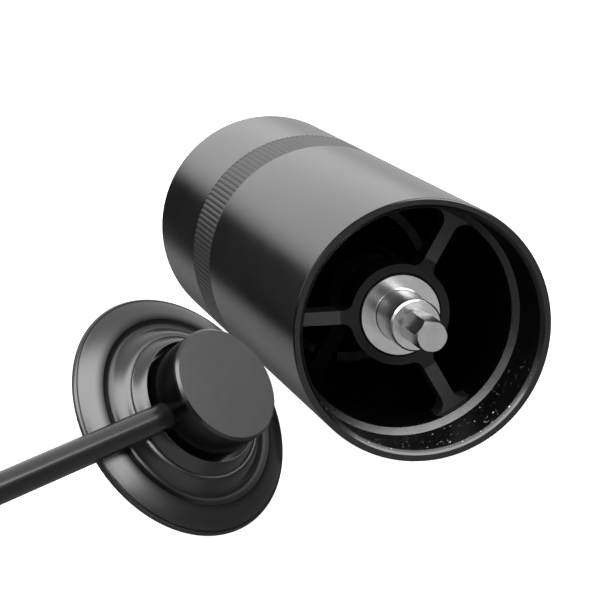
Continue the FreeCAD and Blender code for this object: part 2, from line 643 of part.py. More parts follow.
# ---------------------------------------------------------------- catch cup
def catch_cup():
    base = turned_edges([
        line(0, 0, BARREL_R - CUP_BASE_ROUND, 0),
        arc((BARREL_R - CUP_BASE_ROUND, 0),
            (BARREL_R - 0.293 * CUP_BASE_ROUND, 0.293 * CUP_BASE_ROUND),
            (BARREL_R, CUP_BASE_ROUND)),
        line(BARREL_R, CUP_BASE_ROUND, BARREL_R, BAND_LOW_Z),
        line(BARREL_R, BAND_LOW_Z, 0, BAND_LOW_Z),
        line(0, BAND_LOW_Z, 0, 0)])
    band = ribbed_prism(BARREL_R, BAND_DEPTH, BAND_RIBS, BAND_LOW_Z, SEAM_Z)
    edge_break = turned([
        (0, BAND_LOW_Z), (BARREL_R + 0.1, BAND_LOW_Z), (BARREL_R + 0.1, SEAM_Z - SEAM_BREAK - 0.1),
        (BARREL_R - SEAM_BREAK, SEAM_Z), (0, SEAM_Z)])
    inside = turned([
        (0, CUP_FLOOR), (CUP_BORE_R - 1.5, CUP_FLOOR), (CUP_BORE_R, CUP_FLOOR + 1.5),
        (CUP_BORE_R, CUP_SOCKET_Z), (CUP_SOCKET_R, CUP_SOCKET_Z), (CUP_SOCKET_R, SEAM_Z),
        (0, SEAM_Z)])
    groove = Part.makeTorus(SEAL_R, SEAL_SECTION_R + FIT, Vector(0, 0, SEAL_Z))
    recess = ring(0, PAD_R + 0.05, 0, PAD_RECESS)
    return base.fuse(band.common(edge_break)).cut([inside, groove, recess]).removeSplitter()


def base_pad():
    """Rubber disc let into the base, standing a little proud."""
    body = ring(0, PAD_R, PAD_RECESS - PAD_THICK, PAD_RECESS)
    return body


def cup_seal():
    return Part.makeTorus(SEAL_R, SEAL_SECTION_R, Vector(0, 0, SEAL_Z))


# ---------------------------------------------------------------- crank unit pieces
def lid():
    web_low = WASHER_LOW_Z + LID_WASHER_THICK
    seat_low = LID_SEAT_R_IN - 0.3
    edges = [
        line(*LID_UNDERSIDE[0], LID_R - LID_RIM_EDGE, 0),
        line(LID_R - LID_RIM_EDGE, 0, LID_R, LID_RIM_EDGE),
        arc((LID_R, LID_RIM_EDGE), (LID_R - 0.16, 0.75), LID_FLANGE[0]),
        curve(LID_FLANGE),
        curve(LID_SLOPE),
        line(*LID_SLOPE[-1], LID_SLOPE[-1][0], LID_SEAT_Z),
        line(LID_SLOPE[-1][0], LID_SEAT_Z, LID_SEAT_R_IN, LID_SEAT_Z),
        line(LID_SEAT_R_IN, LID_SEAT_Z, seat_low, HUB_LOW_Z),
        line(seat_low, HUB_LOW_Z, LID_HOLE_R, HUB_LOW_Z),
        line(LID_HOLE_R, HUB_LOW_Z, LID_HOLE_R, web_low),
        line(LID_HOLE_R, web_low, LID_WEB_R, web_low),
        line(LID_WEB_R, web_low, *LID_UNDERSIDE[-1]),
        curve(list(reversed(LID_UNDERSIDE)))]
    return turned_edges(edges)


def hub_bezel():
    """Convex ring round the hub, let into the lid, with a slot for the arm."""
    edges = [
        line(BEZEL_R_IN, HUB_LOW_Z, BEZEL_SKIRT_R, HUB_LOW_Z),
        line(BEZEL_SKIRT_R, HUB_LOW_Z, BEZEL_SKIRT_R, BEZEL_LOW_Z),
        line(BEZEL_SKIRT_R, BEZEL_LOW_Z, BEZEL_R_OUT, BEZEL_LOW_Z),
        line(BEZEL_R_OUT, BEZEL_LOW_Z, BEZEL_R_OUT, LID_SLOPE[-1][1]),
        line(BEZEL_R_OUT, LID_SLOPE[-1][1], *BEZEL_FACE[0]),
        curve(BEZEL_FACE),
        line(*BEZEL_FACE[-1], BEZEL_R_IN, BEZEL_TOP_Z),
        line(BEZEL_R_IN, BEZEL_TOP_Z, BEZEL_R_IN, HUB_LOW_Z)]
    slot = Part.makeCylinder(ARM_R + FIT, 20.0, Vector(0, 0, ARM_Z), Vector(1, 0, 0))
    return turned_edges(edges).cut(slot)


def crank_hub():
    body = turned([
        (0, HUB_LOW_Z), (HUB_R, HUB_LOW_Z), (HUB_R, HUB_TOP_Z - HUB_CHAMFER),
        (HUB_R - HUB_CHAMFER, HUB_TOP_Z), (0, HUB_TOP_Z)])
    spigot = ring(0, SPIGOT_R, SPIGOT_LOW_Z, HUB_LOW_Z)
    body = body.fuse(spigot).removeSplitter()
    socket = ring(0, SOCKET_R + FIT, SPIGOT_LOW_Z, SOCKET_TOP_Z)
    arm = Part.makeCylinder(ARM_R + FIT, 20.0, Vector(ARM_INNER_X - 0.3, 0, ARM_Z),
                            Vector(1, 0, 0))
    pin = Part.makeCylinder(ARM_PIN_R + FIT, ARM_PIN_LENGTH + 0.1,
                            Vector(ARM_PIN_X, 0, HUB_LOW_Z))
    return body.cut([socket, arm, pin])


def drive_socket():
    body = ring(0, SOCKET_R, SPIGOT_LOW_Z, SOCKET_TOP_Z)
    hexagon = hexagon_prism(SOCKET_ACROSS_FLATS, SPIGOT_LOW_Z, SOCKET_TOP_Z - 0.2, 0)
    lead_in = turned([(0, SPIGOT_LOW_Z), (3.8, SPIGOT_LOW_Z), (3.2, SPIGOT_LOW_Z + 0.6),
                      (0, SPIGOT_LOW_Z + 0.6)])
    return body.cut([hexagon, lead_in])


def crank_arm():
    """Round rod whose outer end is flattened into an eye for the knob pin."""
    rod_end = CRANK_LENGTH - EYE_R - EYE_TRANSITION
    rod = Part.makeCylinder(ARM_R, rod_end - ARM_INNER_X, Vector(ARM_INNER_X, 0, ARM_Z),
                            Vector(1, 0, 0))
    circle = Part.Wire(Part.makeCircle(ARM_R, Vector(rod_end, 0, ARM_Z), Vector(1, 0, 0)))
    flat_x = CRANK_LENGTH - EYE_R
    half_w = EYE_WIDTH_AT_ROOT / 2
    half_t = EYE_THICK / 2
    ellipse = Part.Ellipse(Vector(flat_x, half_w, ARM_Z), Vector(flat_x, 0, ARM_Z + half_t),
                           Vector(flat_x, 0, ARM_Z))
    flattened = Part.Wire(ellipse.toShape())
    paddle = Part.makeLoft([circle, flattened], True)
    tongue = Part.Face(flattened).extrude(Vector(EYE_OVERLAP, 0, 0))
    eye = ring(0, EYE_R, ARM_Z - half_t, ARM_Z + half_t).translated(Vector(CRANK_LENGTH, 0, 0))
    body = rod.fuse([paddle, tongue, eye])
    hole = ring(0, KNOB_PIN_R + FIT, 0, 20).translated(Vector(CRANK_LENGTH, 0, 0))
    pin = Part.makeCylinder(ARM_PIN_R + FIT, 20, Vector(ARM_PIN_X, 0, 0))
    return body.cut([hole, pin])


def arm_pin():
    """Pressed pin that locks the arm in the hub."""
    return Part.makeCylinder(ARM_PIN_R, ARM_PIN_LENGTH, Vector(ARM_PIN_X, 0, HUB_LOW_Z + 0.05))


def lid_washer():
    return ring(SPIGOT_R + FIT, CLAMP_NUT_R + 0.5, WASHER_LOW_Z,
                WASHER_LOW_Z + LID_WASHER_THICK)


def clamp_nut():
    body = toothed_prism(CLAMP_NUT_R, 0.9, CLAMP_NUT_NOTCHES, 0.7, CLAMP_NUT_LOW_Z, WASHER_LOW_Z)
    return body.cut(ring(0, SPIGOT_R + FIT, CLAMP_NUT_LOW_Z, WASHER_LOW_Z))


# ---------------------------------------------------------------- knob, about its own pin
def knob_base_z():
    return ARM_Z + EYE_THICK / 2 + KNOB_WASHER


def at_knob(shape):
    return shape.translated(Vector(CRANK_LENGTH, 0, 0))


def knob_pin():
    low = ARM_Z - EYE_THICK / 2 - KNOB_PIN_HEAD
    top = knob_base_z() + KNOB_LENGTH - KNOB_CAP_THICK - KNOB_PIN_SHORT
    body = turned([
        (0, low), (KNOB_PIN_HEAD_R - 0.7, low), (KNOB_PIN_HEAD_R, low + 0.7),
        (KNOB_PIN_HEAD_R, low + KNOB_PIN_HEAD), (KNOB_PIN_R, low + KNOB_PIN_HEAD),
        (KNOB_PIN_R, top - 2.0), (KNOB_PIN_R - 0.5, top - 2.0), (KNOB_PIN_R - 0.5, top - 1.1),
        (KNOB_PIN_R, top - 1.1), (KNOB_PIN_R, top - 0.4), (KNOB_PIN_R - 0.4, top), (0, top)])
    return at_knob(body.cut(hexagon_prism(2.5, low, low + 1.2, 0)))


def knob_washer():
    low = ARM_Z + EYE_THICK / 2
    return at_knob(ring(KNOB_PIN_R + FIT, KNOB_WASHER_R, low, low + KNOB_WASHER - 0.1))


def knob():
    low = knob_base_z()
    top = low + KNOB_LENGTH
    bush = KNOB_BUSH_R + FIT
    side = [(KNOB_R - inset, low + height) for inset, height in KNOB_SIDE]
    half_round = 0.293 * KNOB_BASE_ROUND
    shoulder_r = side[-1][0] - KNOB_SHOULDER
    rebate_r = KNOB_CAP_R + 0.05
    rebate_low = top - KNOB_CAP_THICK
    cavity_low = top - KNOB_CAVITY_DEPTH
    edges = [
        line(bush, low, KNOB_R - KNOB_BASE_ROUND, low),
        arc((KNOB_R - KNOB_BASE_ROUND, low), (KNOB_R - half_round, low + half_round), side[0]),
        curve(side),
        line(*side[-1], shoulder_r, top),
        line(shoulder_r, top, rebate_r, top),
        line(rebate_r, top, rebate_r, rebate_low),
        line(rebate_r, rebate_low, KNOB_CAVITY_R, rebate_low),
        line(KNOB_CAVITY_R, rebate_low, KNOB_CAVITY_R, cavity_low),
        line(KNOB_CAVITY_R, cavity_low, bush, cavity_low),
        line(bush, cavity_low, bush, low)]
    return at_knob(turned_edges(edges))


def knob_bushes():
    low = knob_base_z()
    high = low + KNOB_LENGTH - KNOB_CAVITY_DEPTH
    inner = KNOB_PIN_R + RUNNING_FIT
    return Part.makeCompound([
        at_knob(ring(inner, KNOB_BUSH_R, low, low + KNOB_BUSH_LENGTH)),
        at_knob(ring(inner, KNOB_BUSH_R, high - KNOB_BUSH_LENGTH, high))])


def knob_clip():
    top = knob_base_z() + KNOB_LENGTH - KNOB_CAP_THICK - KNOB_PIN_SHORT
    body = ring(KNOB_PIN_R - 0.45, KNOB_PIN_R + 1.6, top - 1.95, top - 1.2)
    mouth = Part.makeBox(2 * KNOB_PIN_R, 2 * KNOB_PIN_R - 1.2, 2,
                         Vector(0, -KNOB_PIN_R + 0.6, top - 2.5))
    return at_knob(body.cut(mouth))


def knob_cap():
    top = knob_base_z() + KNOB_LENGTH
    return at_knob(turned([
        (0, top - KNOB_CAP_THICK), (KNOB_CAP_R, top - KNOB_CAP_THICK), (KNOB_CAP_R, top - 0.3),
        (KNOB_CAP_R - 0.3, top), (0, top + 0.25)]))


# ---------------------------------------------------------------- assembly
BARREL_PIECES = {
    "outer_tube": outer_tube,
    "hopper_liner": hopper_liner,
    "upper_spider": upper_spider,
    "upper_bearing_outer_race": lambda: bearing_outer(UPPER_BEARING_Z),
    "upper_bearing_inner_race": lambda: bearing_inner(UPPER_BEARING_Z),
    "upper_bearing_balls": lambda: bearing_balls(UPPER_BEARING_Z),
    "upper_bearing_shields": lambda: bearing_shields(UPPER_BEARING_Z),
    "upper_bearing_circlip": lambda: bearing_circlip(UPPER_BEARING_Z + BEARING_WIDTH),
    "lower_spider": lower_spider,
    "lower_bearing_outer_race": lambda: bearing_outer(LOWER_BEARING_Z),
    "lower_bearing_inner_race": lambda: bearing_inner(LOWER_BEARING_Z),
    "lower_bearing_balls": lambda: bearing_balls(LOWER_BEARING_Z),
    "lower_bearing_shields": lambda: bearing_shields(LOWER_BEARING_Z),
    "lower_bearing_circlip": lambda: bearing_circlip(LOWER_BEARING_Z + BEARING_WIDTH),
    "burr_housing": burr_housing,
    "outer_burr": outer_burr,
    "burr_retainer": burr_retainer,
    "burr_retainer_screws": retainer_screws,
    "drive_shaft": drive_shaft,
    "shaft_collar": shaft_collar,
    "inner_burr": inner_burr,
    "burr_spring": burr_spring,
    "click_plate": click_plate,
    "adjust_dial": adjust_dial,
    "click_balls": click_balls,
    "click_springs": click_springs,
    "stud_clip": stud_clip,
    "catch_cup": catch_cup,
    "cup_seal": cup_seal,
    "base_pad": base_pad,
}

CRANK_PIECES = {
    "lid": lid,
    "hub_bezel": hub_bezel,
    "crank_hub": crank_hub,
    "drive_socket": drive_socket,
    "crank_arm": crank_arm,
    "arm_lock_pin": arm_pin,
    "lid_washer": lid_washer,
    "lid_clamp_nut": clamp_nut,
    "knob_pin": knob_pin,
    "knob_washer": knob_washer,
    "knob": knob,
    "knob_bushes": knob_bushes,
    "knob_clip": knob_clip,
    "knob_cap": knob_cap,
}


def main():
    os.makedirs("parts", exist_ok=True)
    for name, build in BARREL_PIECES.items():
        save(build(), name, lay_barrel())
    for name, build in CRANK_PIECES.items():
        save(build(), name, lean_crank())


main()
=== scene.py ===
"""Looks of the hand crank coffee grinder: camera, floor, soft studio light and materials.

Units are metres and +Z is up. The barrel lies along Y with its open mouth towards -Y, and
the lid and crank unit leans on its rim and its knob in front of the barrel.
"""

import math

import bpy
from mathutils import Matrix, Vector


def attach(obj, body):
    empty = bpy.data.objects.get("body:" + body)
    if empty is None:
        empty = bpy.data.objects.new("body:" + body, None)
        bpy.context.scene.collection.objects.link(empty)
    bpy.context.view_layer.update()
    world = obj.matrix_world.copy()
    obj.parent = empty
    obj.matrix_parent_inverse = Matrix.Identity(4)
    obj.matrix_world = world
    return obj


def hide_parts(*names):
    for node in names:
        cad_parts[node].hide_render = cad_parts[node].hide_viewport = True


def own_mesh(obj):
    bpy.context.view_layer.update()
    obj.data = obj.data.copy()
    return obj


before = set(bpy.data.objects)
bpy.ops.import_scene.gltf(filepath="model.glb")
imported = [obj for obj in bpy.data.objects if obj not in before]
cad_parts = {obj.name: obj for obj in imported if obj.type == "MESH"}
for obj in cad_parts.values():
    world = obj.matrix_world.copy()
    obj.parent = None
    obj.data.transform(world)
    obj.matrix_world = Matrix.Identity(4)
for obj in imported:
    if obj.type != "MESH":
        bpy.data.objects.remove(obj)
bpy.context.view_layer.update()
MM = 0.001

# ---------------------------------------------------------------- frames of the two units
BARREL_MOUTH = Vector((68.8, 3.7, 26.0)) * MM
BARREL_AXIS = Vector((0.0, -1.0, 0.0))
LID_CENTRE = Vector((14.75, -25.67, 19.11)) * MM
HUB_AXIS = Vector((0.4566, -0.7044, 0.5434)).normalized()
ARM_AXIS = Vector((-0.7927, -0.5995, -0.1110)).normalized()

# ---------------------------------------------------------------- camera
CAMERA_PLACE = Vector((-71.398, -471.601, 128.054)) * MM
CAMERA_FORWARD = Vector((0.23195, 0.95396, -0.19017)).normalized()
CAMERA_UP = Vector((0.04811, 0.18401, 0.98175))
CAMERA_LENS = 156.957
SENSOR_WIDTH = 36.0
CLIP_RANGE = (0.01, 20.0)

# ---------------------------------------------------------------- places on the coatings
# millimetres along the barrel's axis (0 at the mouth, negative inside), across it, or about
# the axis of the hub
RIB_BAND = (-96.2, -78.5)        # the ribbed band of the cup
RIB_EDGE = 0.3
BORE_RADIUS = (24.4, 24.2)       # from here inwards it is the inside of the tube
DUST_LEVEL = (0.0, -20.0)        # height from the axis over which settled dust comes in
DUST_DEPTH = (-26.0, -4.0)       # and the same along the tube, towards the mouth
LEDGE_HIGHLIGHT = ("Z", -16.3, 0.0)        # the liner's top face, given a painted highlight
RING_SHADE = ("X", 0.0, 12.4)          # the spider's ring about the collar, given painted shade
# the lid's groove and a line inside its edge take painted shade: a lower reflection between these radii
LID_GROOVE_SHADE = (15.0, 17.7, 19.7)  # inner, deepest and outer radius of the groove in the lid
LID_LIP_SHADE = (22.2, 22.45)          # radii of the line just inside the lid's edge
LIP_SHADE_EDGE = 0.12
HUB_TOP = (14.1, 14.4)           # heights over which the hub's top begins
HUB_SIDE = (14.0, 13.3)          # and those over which its side begins, going down
SHADED_SIDE = (0.34, -0.94)        # direction across the hub of its side with painted shade
SHADE_REACH = (-1.0, 5.0)         # distance along that direction over which the painted shade comes in

# ---------------------------------------------------------------- finishes
RIB_ROUGHNESS = 0.40
BORE_ROUGHNESS = 0.3
SHEEN = 0.5                      # reflection of the plain coating
# lower reflection inside the tube: painted shade
BORE_SHADE_SHEEN = 0.3
LID_SHEEN = 0.6
HUB_SHEEN = 0.58
# reflection where shade is painted: the lid's groove and lip line, and the hub's side
PAINTED_SHADE_SHEEN = 0.06
WEAR = 0.025                     # how far handling changes the hub's roughness
DUST_COLOUR = (0.80, 0.79, 0.77)
DUST_CUT = (0.67, 0.71)          # noise values from which a speck begins
ACROSS_MARKS = 0.25              # turn of the drawn-out reflection, to lie across the marks
PAPER_EMISSION = 1.02

# ---------------------------------------------------------------- studio
# profile of the seamless paper: (distance from the middle, height) in metres
PAPER_PROFILE = [(0.0, 0.0), (1.4, 0.0), (1.9, 0.08), (2.3, 0.35), (2.6, 0.9), (2.7, 2.2)]
PAPER_SIDES = 96
FLOOR_LIGHT = 0.3          # radiance of the surroundings below the set
WALL_LIGHT = 1.25          # and of the lit wall behind and above it
WALL_RISE = (2.0, 13.0)    # elevations over which the wall's light comes in
# softer areas of the surroundings: azimuth (from +Y towards +X), half width, its softness,
# lowest and highest elevation, its softness, radiance
PATCHES = [
    (-42.0, 34.0, 4.0, -12.6, 5.8, 2.3, 0.0),
    (-31.2, 15.0, 1.0, -13.0, 6.0, 2.0, 0.10),
    (38.0, 26.0, 6.0, -8.0, 8.0, 5.0, 0.6),
    (100.0, 36.0, 7.0, -8.0, 27.0, 4.0, 0.22),
    (14.0, 15.0, 6.0, -90.0, -13.0, 4.0, 0.10),
    (180.0, 50.0, 16.0, -60.0, -4.0, 5.0, 0.68),
]
# the photographer standing in front of the lamp, in the same terms
PERSON = (-172.0, 20.0, 6.0, -5.0, 46.0, 4.0, 0.12)
# large soft light above and in front, on a ceiling one unit up: x range, y range, softness,
# and the sines of the elevations over which it comes in
KEY_X = (-1.6, 1.38)
KEY_Y = (-3.2, -0.09)
KEY_SOFT = 0.12
KEY_RISE = (0.05, 0.2)
LOWEST_SINE = 0.02
KEY_LIGHT = 8.5


def to_frame(origin, axis, side):
    """Matrix taking a world point to the frame at origin with z along axis and x by side."""
    z = axis.normalized()
    x = (side - z * side.dot(z)).normalized()
    y = z.cross(x)
    placed = Matrix((x, y, z)).transposed().to_4x4()
    placed.translation = origin
    return placed.inverted()


BARREL_FRAME = to_frame(BARREL_MOUTH, BARREL_AXIS, Vector((1.0, 0.0, 0.0)))
CRANK_FRAME = to_frame(LID_CENTRE, HUB_AXIS, ARM_AXIS)


# ---------------------------------------------------------------- node helpers
class Nodes:
    """A node tree with short calls to add and join nodes."""

    def __init__(self, tree):
        self.tree = tree

    def add(self, kind, **settings):
        node = self.tree.nodes.new(kind)
        for key, value in settings.items():
            setattr(node, key, value)
        return node

    def join(self, source, target):
        self.tree.links.new(source, target)

    def math(self, operation, *values):
        """Result of a math node on sockets or plain numbers."""
        node = self.add("ShaderNodeMath", operation=operation)
        for index, value in enumerate(values):
            if isinstance(value, (int, float)):
                node.inputs[index].default_value = value
            else:
                self.join(value, node.inputs[index])
        return node.outputs["Value"]

    def smooth(self, value, start, end):
        """0 below start, 1 above end, with a smooth rise between (start may be the larger)."""
        node = self.add("ShaderNodeMapRange", interpolation_type="SMOOTHSTEP")
        node.inputs["From Min"].default_value = start
        node.inputs["From Max"].default_value = end
        self.join(value, node.inputs["Value"])
        return node.outputs["Result"]

    def split(self, point):
        """The point's three coordinates."""
        parts = self.add("ShaderNodeSeparateXYZ")
        self.join(point, parts.inputs["Vector"])
        return parts.outputs["X"], parts.outputs["Y"], parts.outputs["Z"]

    def product(self, *values):
        """All values multiplied together."""
        total = values[0]
        for value in values[1:]:
            total = self.math("MULTIPLY", total, value)
        return total

    def within(self, value, low, high, soft):
        """1 between low and high, fading to 0 outside."""
        rise = self.smooth(value, low - soft, low + soft)
        fall = self.smooth(value, high + soft, high - soft)
        return self.product(rise, fall)

    def toward(self, value, target, mask):
        """Value moved to the target number where the mask is 1."""
        node = self.add("ShaderNodeMix", data_type="FLOAT")
        self.join(mask, node.inputs[0])
        if isinstance(value, (int, float)):
            node.inputs[2].default_value = value
        else:
            self.join(value, node.inputs[2])
        node.inputs[3].default_value = target
        return node.outputs[0]


class Shader(Nodes):
    """A material's node tree."""

    def __init__(self, name):
        self.material = bpy.data.materials.new(name)
        self.material.use_nodes = True
        super().__init__(self.material.node_tree)
        self.surface = self.tree.nodes["Principled BSDF"]

    def set(self, **values):
        for key, value in values.items():
            self.surface.inputs[key.replace("_", " ")].default_value = value

    def local(self, matrix):
        """The object's own point in millimetres, in the frame of the given matrix."""
        place = self.add("ShaderNodeTexCoord")
        mapping = self.add("ShaderNodeMapping")
        mapping.inputs["Rotation"].default_value = matrix.to_euler()
        mapping.inputs["Location"].default_value = matrix.translation
        self.join(place.outputs["Object"], mapping.inputs["Vector"])
        scale = self.add("ShaderNodeVectorMath", operation="SCALE")
        scale.inputs["Scale"].default_value = 1.0 / MM
        self.join(mapping.outputs["Vector"], scale.inputs[0])
        return scale.outputs["Vector"]

    def turned(self, point):
        """(radius, 0, height) of a point, for marks left by turning on a lathe."""
        height = self.split(point)[2]
        flat = self.add("ShaderNodeVectorMath", operation="MULTIPLY")
        flat.inputs[1].default_value = (1.0, 1.0, 0.0)
        self.join(point, flat.inputs[0])
        radius = self.add("ShaderNodeVectorMath", operation="LENGTH")
        self.join(flat.outputs["Vector"], radius.inputs[0])
        joined = self.add("ShaderNodeCombineXYZ")
        self.join(radius.outputs["Value"], joined.inputs["X"])
        self.join(height, joined.inputs["Z"])
        return joined.outputs["Vector"]

    def noise(self, point, scale, detail=2.0, rough=0.5):
        node = self.add("ShaderNodeTexNoise")
        node.inputs["Scale"].default_value = scale
        node.inputs["Detail"].default_value = detail
        node.inputs["Roughness"].default_value = rough
        self.join(point, node.inputs["Vector"])
        return node.outputs["Fac"]

    def ranged(self, value, low, high, start=0.3, end=0.7):
        """Value from start..end mapped to low..high."""
        node = self.add("ShaderNodeMapRange")
        node.inputs["From Min"].default_value = start
        node.inputs["From Max"].default_value = end
        node.inputs["To Min"].default_value = low
        node.inputs["To Max"].default_value = high
        self.join(value, node.inputs["Value"])
        return node.outputs["Result"]

    def grey(self, factor, tones):
        """Grey between the two tones."""
        dark, light = tones
        return self.mixed(factor, (dark,) * 3, (light,) * 3)

    def mixed(self, factor, first, second):
        """Colour between first and second."""
        node = self.add("ShaderNodeMix", data_type="RGBA")
        node.inputs[6].default_value = (*first, 1.0)
        node.inputs[7].default_value = (*second, 1.0)
        self.join(factor, node.inputs["Factor"])
        return node.outputs[2]

    def bump(self, height, depth, strength=1.0, after=None):
        """A bump of the given depth in millimetres."""
        node = self.add("ShaderNodeBump")
        node.inputs["Strength"].default_value = strength
        node.inputs["Distance"].default_value = depth * MM
        self.join(height, node.inputs["Height"])
        if after is not None:
            self.join(after, node.inputs["Normal"])
        return node.outputs["Normal"]

    def reflect(self, sheen):
        """Reflection of the coating, as a number's socket."""
        self.join(sheen, self.surface.inputs["Specular IOR Level"])

    def finish(self, color=None, roughness=None, normal=None):
        if color is not None:
            self.join(color, self.surface.inputs["Base Color"])
        if roughness is not None:
            self.join(roughness, self.surface.inputs["Roughness"])
        if normal is not None:
            self.join(normal, self.surface.inputs["Normal"])
        return self.material


# ---------------------------------------------------------------- materials
# tones are the darkest and lightest grey, gloss the lowest and highest roughness, and noise
# scales are in features per millimetre
def satin_black(shader, point, tones, gloss):
    """Fine satin coating over turned aluminium: its colour, roughness and normal."""
    cloud = shader.noise(point, 0.06, detail=3.0)
    grain = shader.noise(point, 9.0, detail=3.0, rough=0.6)
    speckle = shader.noise(point, 3.0, detail=4.0, rough=0.7)
    color = shader.grey(shader.ranged(speckle, 0.0, 1.0), tones)
    roughness = shader.ranged(cloud, *gloss)
    normal = shader.bump(grain, 0.004, strength=0.5)
    return color, roughness, normal


def dusted(shader, point, color, mask, amount, scale):
    """The colour with fine pale dust specks where the mask is 1."""
    specks = shader.noise(point, scale, detail=3.0, rough=0.6)
    cover = shader.product(shader.smooth(specks, *DUST_CUT), mask, amount)
    node = shader.add("ShaderNodeMix", data_type="RGBA")
    node.inputs[7].default_value = (*DUST_COLOUR, 1.0)
    shader.join(cover, node.inputs["Factor"])
    shader.join(color, node.inputs[6])
    return node.outputs[2]


def body_coating():
    """Coating of the tube and the cup: rougher on the ribs; inside the tube rougher, dusty and with painted
    shade (a lower reflection).
    """
    shader = Shader("coat_body")
    point = shader.local(BARREL_FRAME)
    color, roughness, normal = satin_black(shader, point, tones=(0.0008, 0.002), gloss=(0.15, 0.18))
    level = shader.split(point)[1]
    radius, _, height = shader.split(shader.turned(point))
    ribs = shader.within(height, *RIB_BAND, RIB_EDGE)
    roughness = shader.toward(roughness, RIB_ROUGHNESS, ribs)
    inside = shader.smooth(radius, *BORE_RADIUS)
    roughness = shader.toward(roughness, BORE_ROUGHNESS, inside)
    low = shader.smooth(level, *DUST_LEVEL)
    near_mouth = shader.smooth(height, *DUST_DEPTH)
    settled = shader.product(inside, low, near_mouth)
    color = dusted(shader, point, color, settled, amount=1.0, scale=1.7)
    # painted shade: the inside of the tube reflects less
    shader.reflect(shader.toward(SHEEN, BORE_SHADE_SHEEN, inside))
    return shader.finish(color, roughness, normal)


def lid_coating():
    """Coating of the dished lid, with painted shade (a lower reflection) in its groove and on the line
    inside its edge.
    """
    shader = Shader("coat_lid")
    point = shader.local(CRANK_FRAME)
    color, roughness, normal = satin_black(shader, point, tones=(0.001, 0.003), gloss=(0.22, 0.27))
    radius = shader.split(shader.turned(point))[0]
    inner, deepest, outer = LID_GROOVE_SHADE
    rise = shader.smooth(radius, inner, deepest)
    fall = shader.smooth(radius, outer, deepest)
    lip = shader.within(radius, *LID_LIP_SHADE, LIP_SHADE_EDGE)
    # painted shade: the groove and the line inside the edge reflect less
    painted_shade = shader.math("MAXIMUM", shader.product(rise, fall), lip)
    shader.reflect(shader.toward(LID_SHEEN, PAINTED_SHADE_SHEEN, painted_shade))
    return shader.finish(color, roughness, normal)


def hub_coating():
    """Coating of the hub: handled, faintly dusty on top, with painted shade (a lower reflection) on the
    side towards the rod.
    """
    shader = Shader("coat_hub")
    point = shader.local(CRANK_FRAME)
    color, roughness, normal = satin_black(shader, point, tones=(0.0005, 0.0015), gloss=(0.17, 0.21))
    handling = shader.noise(point, 0.7, detail=4.0, rough=0.6)
    roughness = shader.math("ADD", roughness, shader.ranged(handling, -WEAR, WEAR))
    x, y, z = shader.split(point)
    top = shader.smooth(z, *HUB_TOP)
    color = dusted(shader, point, color, top, amount=0.03, scale=5.0)
    # painted shade: the hub's side towards the rod reflects less
    side = shader.smooth(z, *HUB_SIDE)
    along_x = shader.math("MULTIPLY", x, SHADED_SIDE[0])
    along_y = shader.math("MULTIPLY", y, SHADED_SIDE[1])
    reach = shader.smooth(shader.math("ADD", along_x, along_y), *SHADE_REACH)
    shader.reflect(shader.toward(HUB_SHEEN, PAINTED_SHADE_SHEEN, shader.product(side, reach)))
    return shader.finish(color, roughness, normal)


def arm_coating():
    """Coating of the crank's rod."""
    shader = Shader("coat_arm")
    point = shader.local(CRANK_FRAME)
    return shader.finish(*satin_black(shader, point, tones=(0.003, 0.005), gloss=(0.15, 0.20)))


def turned_coating(name, matrix, tones, gloss, depth, sheen, part=None, painted_light_sheen=0.0):
    """Matte dark coating that shows the turning marks under it.

    A part given as (coordinate, low, high) of the turned point takes a sheen of its own, which paints a
    highlight or shade there.
    """
    shader = Shader(name)
    point = shader.local(matrix)
    turned = shader.turned(point)
    marks = shader.noise(turned, 6.0, detail=3.0)
    grain = shader.noise(point, 12.0, detail=3.0, rough=0.7)
    color = shader.grey(shader.ranged(grain, 0.0, 1.0), tones)
    roughness = shader.ranged(shader.noise(point, 0.2), *gloss)
    normal = shader.bump(marks, depth)
    normal = shader.bump(grain, 0.006, strength=0.6, after=normal)
    shader.set(Specular_IOR_Level=sheen)
    if part is not None:
        coordinate, low, high = part
        place = shader.split(turned)["XYZ".index(coordinate)]
        # painted highlight or shade on the given part
        mask = shader.within(place, low, high, 0.2)
        shader.reflect(shader.toward(sheen, painted_light_sheen, mask))
    return shader.finish(color, roughness, normal)


def turned_steel(name, matrix, tones, gloss, depth, streak=0.0):
    """Bare metal with fine turning marks, faint stains and a reflection drawn out across them."""
    shader = Shader(name)
    point = shader.local(matrix)
    marks = shader.noise(shader.turned(point), 8.0, detail=4.0, rough=0.6)
    stain = shader.noise(point, 0.35, detail=3.0)
    color = shader.grey(shader.ranged(stain, 0.0, 1.0), tones)
    roughness = shader.ranged(marks, *gloss)
    normal = shader.bump(marks, depth)
    shader.set(Metallic=1.0, Anisotropic=streak, Anisotropic_Rotation=ACROSS_MARKS)
    around = shader.add("ShaderNodeTangent", direction_type="RADIAL", axis="Y")
    shader.join(around.outputs["Tangent"], shader.surface.inputs["Tangent"])
    return shader.finish(color, roughness, normal)


def brass_bush():
    """Brass with turning marks and tarnish."""
    shader = Shader("brass_bush")
    point = shader.local(CRANK_FRAME)
    marks = shader.noise(shader.turned(point), 8.0, detail=3.0)
    tarnish = shader.noise(point, 0.5, detail=4.0)
    color = shader.mixed(shader.ranged(tarnish, 0.0, 1.0), (0.50, 0.33, 0.12), (0.66, 0.46, 0.18))
    roughness = shader.ranged(tarnish, 0.45, 0.25)
    shader.set(Metallic=1.0)
    return shader.finish(color, roughness, shader.bump(marks, 0.004))


def moulded(name, matrix, tones, gloss, grain_depth):
    """Moulded plastic or rubber with a fine spark-eroded grain."""
    shader = Shader(name)
    point = shader.local(matrix)
    grain = shader.noise(point, 4.0, detail=4.0, rough=0.65)
    cloud = shader.noise(point, 0.15, detail=2.0)
    color = shader.grey(shader.ranged(cloud, 0.0, 1.0), tones)
    roughness = shader.ranged(cloud, *gloss)
    return shader.finish(color, roughness, shader.bump(grain, grain_depth, strength=0.7))


